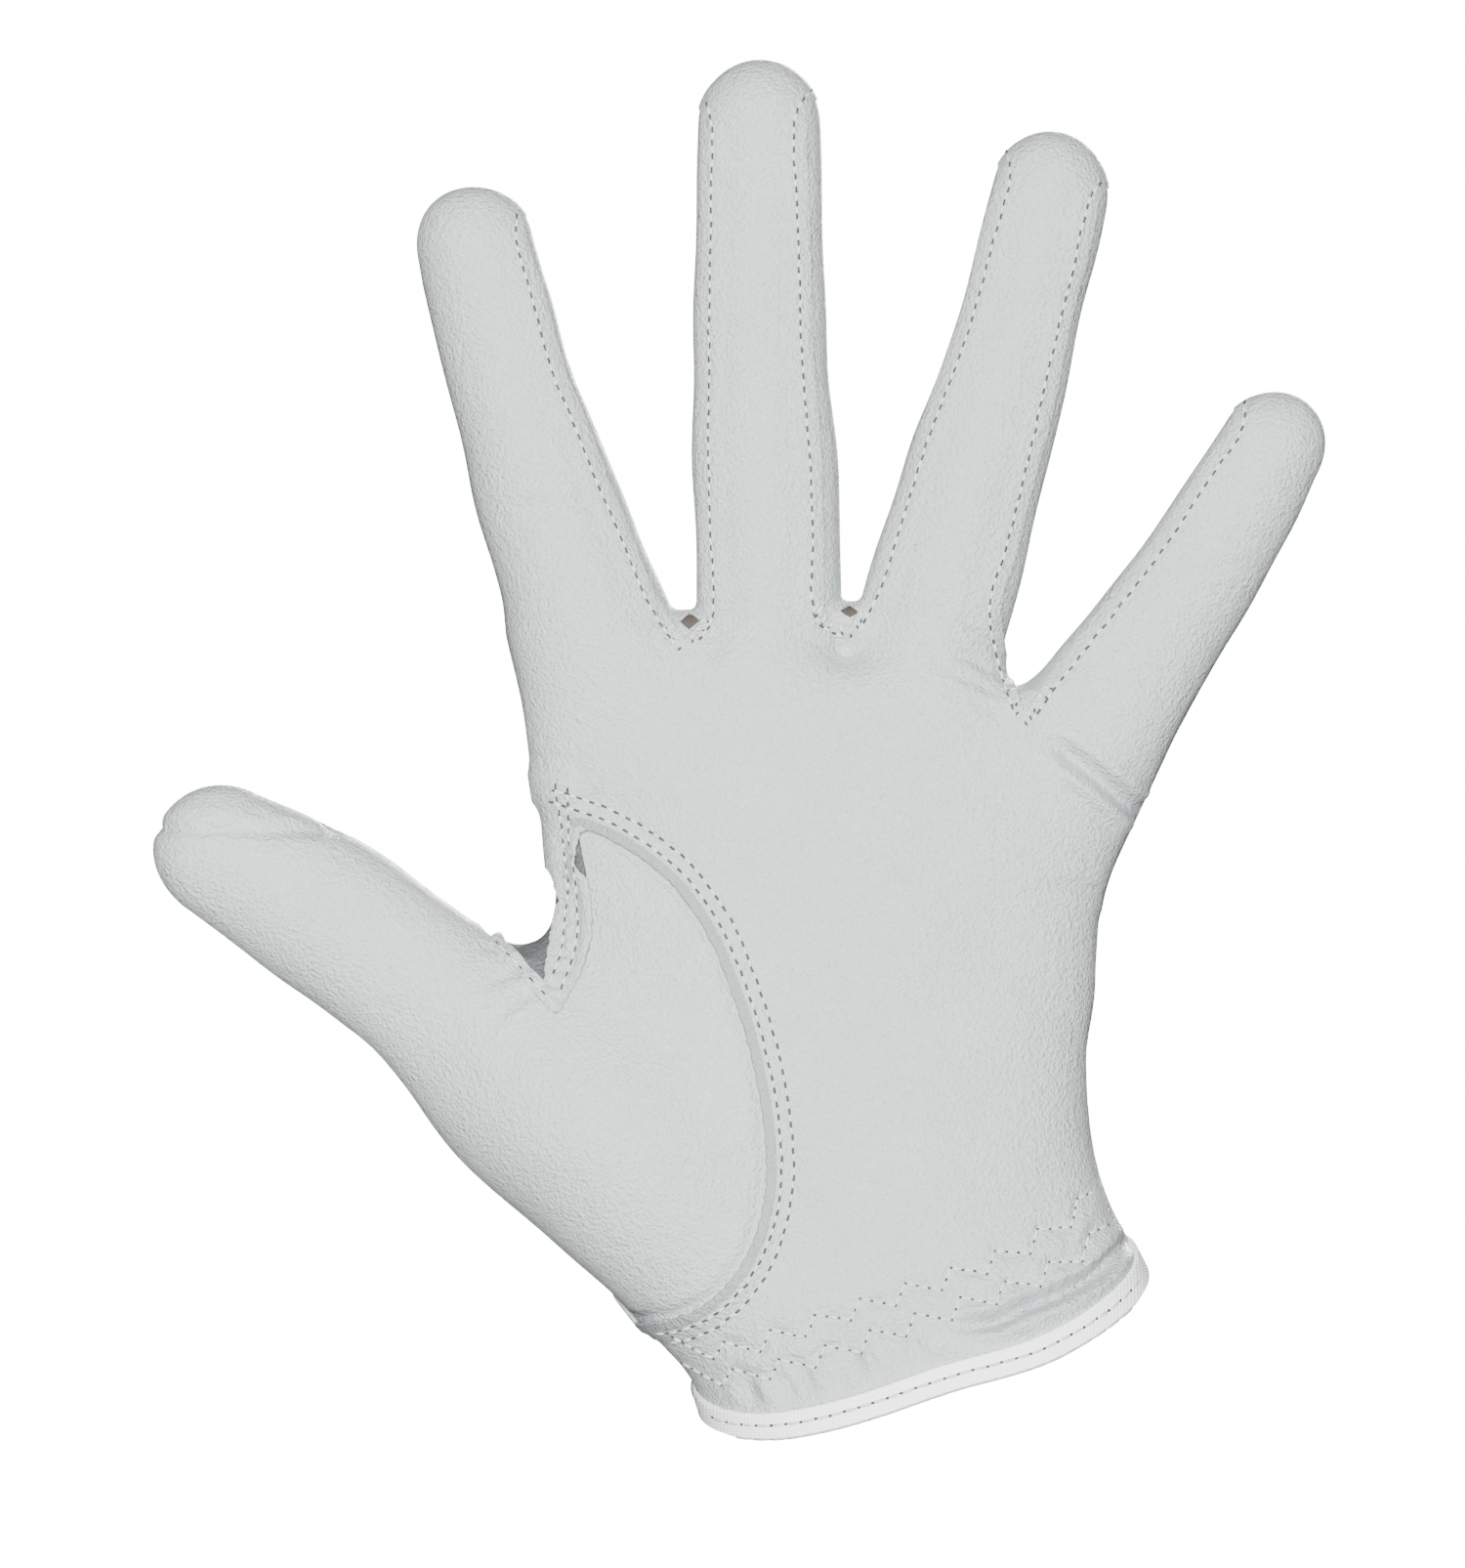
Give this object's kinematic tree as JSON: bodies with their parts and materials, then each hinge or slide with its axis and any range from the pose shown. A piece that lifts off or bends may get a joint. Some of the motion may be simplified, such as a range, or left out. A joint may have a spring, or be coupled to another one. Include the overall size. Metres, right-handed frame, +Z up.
{
  "type": "golf glove",
  "caption": "Left-hand golf glove of thin leather, open at the wrist, with fourchettes, gathered wrist and a closure tab on the back.",
  "frame": {"origin": "centre of the wrist opening, where the hand goes in", "axes": "+Z up the middle finger, -Y out of the palm side, -X towards the thumb"},
  "size_m": [0.1856, 0.0466, 0.2197],
  "materials": {
    "leather": "thin smooth white glove leather, fine grain, soft sheen",
    "binding_tape": "white woven binding tape",
    "dark_lining": "matt brown-grey lining",
    "elastic": "woven elastic",
    "label": "blank woven label",
    "tab_lining": "brushed synthetic lining",
    "hook_and_loop": "white hook-and-loop fastener pile"
  },
  "bodies": {
    "hand": {"back_panel": "leather", "hem_binding": "binding_tape", "index_flex_sleeve": "leather", "little_flex_sleeve": "leather", "loop_patch": "hook_and_loop", "middle_flex_sleeve": "leather", "palm_panel": "leather", "ring_flex_sleeve": "leather", "size_label": "label", "slit_binding": "binding_tape", "tab_strip": "leather", "thumb_base_panel": "leather", "thumb_crotch_gusset": "leather", "thumb_flex_sleeve": "leather", "web_gusset_index_middle": "leather", "web_gusset_middle_ring": "leather", "web_gusset_ring_little": "leather", "web_lining_index_middle": "dark_lining", "web_lining_middle_ring": "dark_lining", "wrist_elastic": "elastic"},
    "closure_tab": {"closure_tab": "leather", "hook_patch": "hook_and_loop", "tab_lining": "tab_lining"},
    "index_finger": {"index_back": "leather", "index_fourchette": "leather", "index_front": "leather"},
    "middle_finger": {"middle_back": "leather", "middle_fourchette_outer_side": "leather", "middle_fourchette_thumb_side": "leather", "middle_front": "leather"},
    "ring_finger": {"ring_back": "leather", "ring_fourchette_outer_side": "leather", "ring_fourchette_thumb_side": "leather", "ring_front": "leather"},
    "little_finger": {"little_back": "leather", "little_fourchette": "leather", "little_front": "leather"},
    "thumb": {"thumb_back": "leather", "thumb_front": "leather"}
  },
  "joints": [
    {"name": "index_flex", "type": "hinge", "parent": "hand", "child": "index_finger", "pos_m": [-0.05592, 0, 0.12928], "axis": [0.9711, 0, 0.2385], "range_deg": [-15, 85], "stiffness_Nm_per_rad": 0.01, "deforming": ["index_flex_sleeve"]},
    {"name": "middle_flex", "type": "hinge", "parent": "hand", "child": "middle_finger", "pos_m": [-0.02545, 0, 0.1306], "axis": [0.9999, 0, 0.0122], "range_deg": [-15, 85], "stiffness_Nm_per_rad": 0.01, "deforming": ["middle_flex_sleeve"]},
    {"name": "ring_flex", "type": "hinge", "parent": "hand", "child": "ring_finger", "pos_m": [0.00577, 0, 0.13142], "axis": [0.9715, 0, -0.2368], "range_deg": [-15, 85], "stiffness_Nm_per_rad": 0.01, "deforming": ["ring_flex_sleeve"]},
    {"name": "little_flex", "type": "hinge", "parent": "hand", "child": "little_finger", "pos_m": [0.035, 0, 0.11217], "axis": [0.8746, 0, -0.4848], "range_deg": [-15, 85], "stiffness_Nm_per_rad": 0.01, "deforming": ["little_flex_sleeve"]},
    {"name": "thumb_flex", "type": "hinge", "parent": "hand", "child": "thumb", "pos_m": [-0.08568, 0, 0.05978], "axis": [0.506, 0, 0.8625], "range_deg": [0, 60], "stiffness_Nm_per_rad": 0.01, "deforming": ["thumb_flex_sleeve"]},
    {"name": "tab_hinge", "type": "hinge", "parent": "hand", "child": "closure_tab", "pos_m": [-0.01875, 0.02134, 0.02598], "axis": [-0.3083, -0.0699, 0.9487], "range_deg": [0, 150]}
  ]
}
